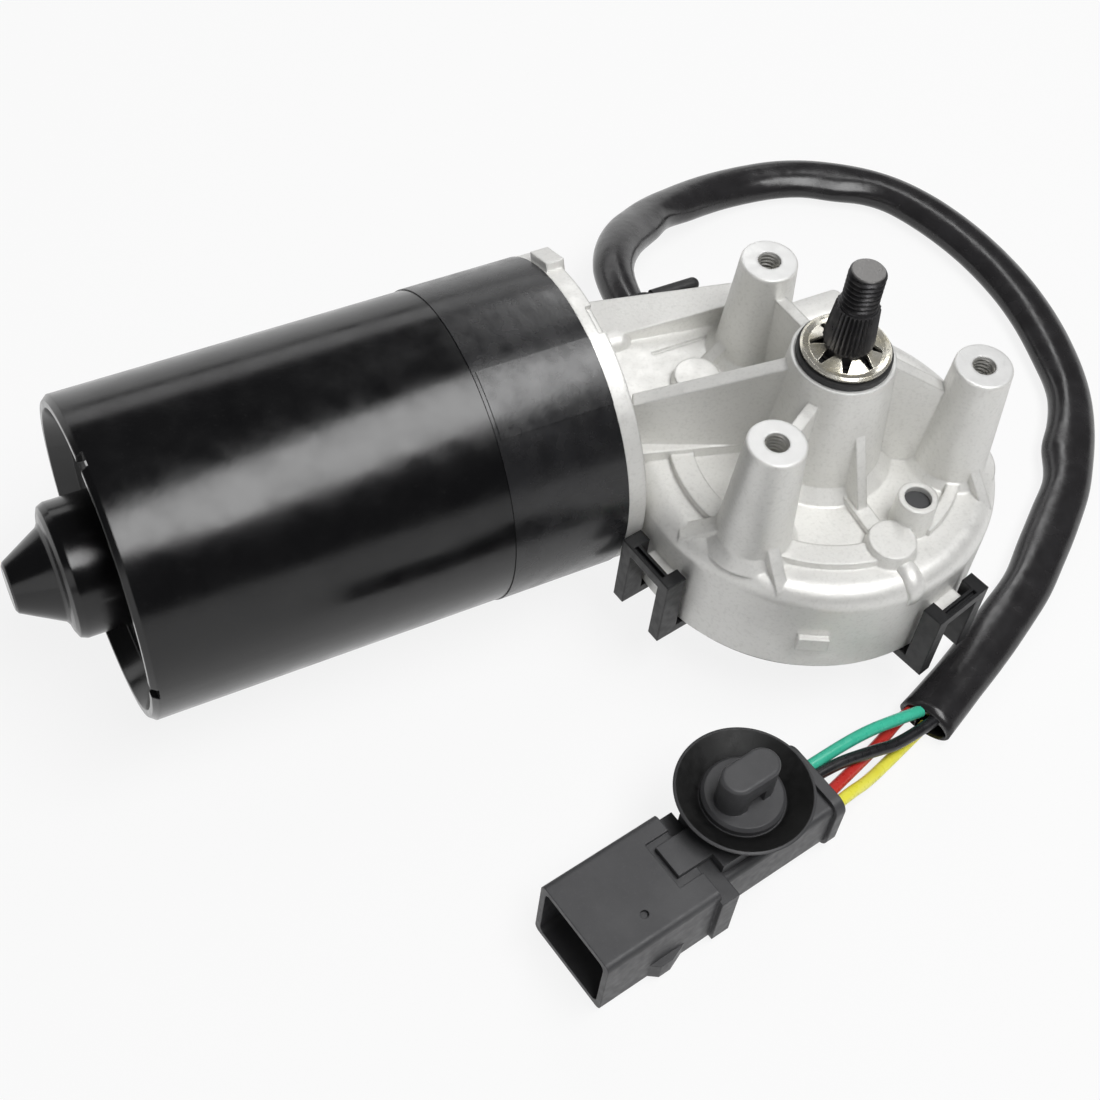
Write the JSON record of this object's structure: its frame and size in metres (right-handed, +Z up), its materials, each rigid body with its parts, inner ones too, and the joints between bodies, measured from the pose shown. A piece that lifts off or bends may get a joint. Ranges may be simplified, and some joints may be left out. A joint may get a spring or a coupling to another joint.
{
  "type": "wiper motor",
  "caption": "Black cylindrical wiper motor with a ribbed cast worm gearbox, a knurled and threaded output shaft, tapped mounting posts and a sleeved lead with a plug.",
  "frame": {"origin": "on the output shaft's axis, at the shoulder where its M8 thread starts", "axes": "+Z up along the output shaft, +X along the motor can towards the gearbox, +Y from the gear chamber towards the can's axis"},
  "size_m": [0.2812, 0.2041, 0.0982],
  "materials": {
    "black_paint": "satin",
    "wrap_film": "matte",
    "cast_aluminium": "satin",
    "black_steel": "satin",
    "bright_steel": "bright",
    "bare_steel": "satin",
    "ferrite": "matte",
    "copper": "satin",
    "bronze": "satin",
    "rubber": "matte",
    "carbon": "matte",
    "gear_plastic": "satin",
    "card": "matte",
    "black_plastic": "satin",
    "connector_plastic": "satin",
    "sleeve_vinyl": "gloss",
    "wire_green": "gloss",
    "wire_black": "gloss",
    "wire_red": "gloss",
    "wire_yellow": "gloss"
  },
  "bodies": {
    "housing": {"motor_can": "black_paint", "can_wrap_band": "wrap_film", "gear_housing": "cast_aluminium", "field_magnets": "ferrite", "magnet_clips": "bare_steel", "rear_bush": "bronze", "rear_thrust_button": "gear_plastic", "brush_plate": "card", "brush_boxes": "bronze", "carbon_brushes": "carbon", "brush_springs": "bare_steel", "choke_cores": "ferrite", "choke_coils": "copper", "front_bush": "bronze", "worm_end_bush": "bronze", "thrust_ball": "bright_steel", "thrust_screw": "bare_steel", "thrust_nut": "bare_steel", "lower_shaft_bush": "bronze", "upper_shaft_bush": "bronze", "shaft_seal": "rubber", "gear_thrust_washer": "bare_steel", "vent_plug": "rubber", "gear_cover": "black_plastic", "cover_seal": "rubber", "contact_carrier": "card", "contact_springs": "bronze", "cable_grommet": "rubber", "harness_sleeve": "sleeve_vinyl", "wire_green": "wire_green", "wire_black": "wire_black", "wire_red": "wire_red", "wire_yellow": "wire_yellow", "connector_shell": "connector_plastic", "connector_collar": "connector_plastic", "connector_terminals": "bright_steel", "panel_clip": "connector_plastic"},
    "armature": {"armature_shaft": "bare_steel", "worm": "bare_steel", "armature_core": "bare_steel", "armature_windings": "copper", "commutator": "copper"},
    "output": {"output_shaft": "black_steel", "worm_wheel": "gear_plastic", "gear_hub": "bare_steel", "park_disc": "bronze", "star_washer": "bright_steel"}
  },
  "joints": [
    {"name": "armature_spin", "type": "hinge", "parent": "housing", "child": "armature", "pos_m": [0, 0.0365, -0.0523], "axis": [1, 0, 0], "continuous": true},
    {"name": "output_spin", "type": "hinge", "parent": "housing", "child": "output", "pos_m": [0, 0, -0.0523], "axis": [0, 0, 1], "continuous": true}
  ],
  "couplings": [
    {"joint": "output_spin", "follows": "armature_spin", "ratio": 0.02}
  ]
}
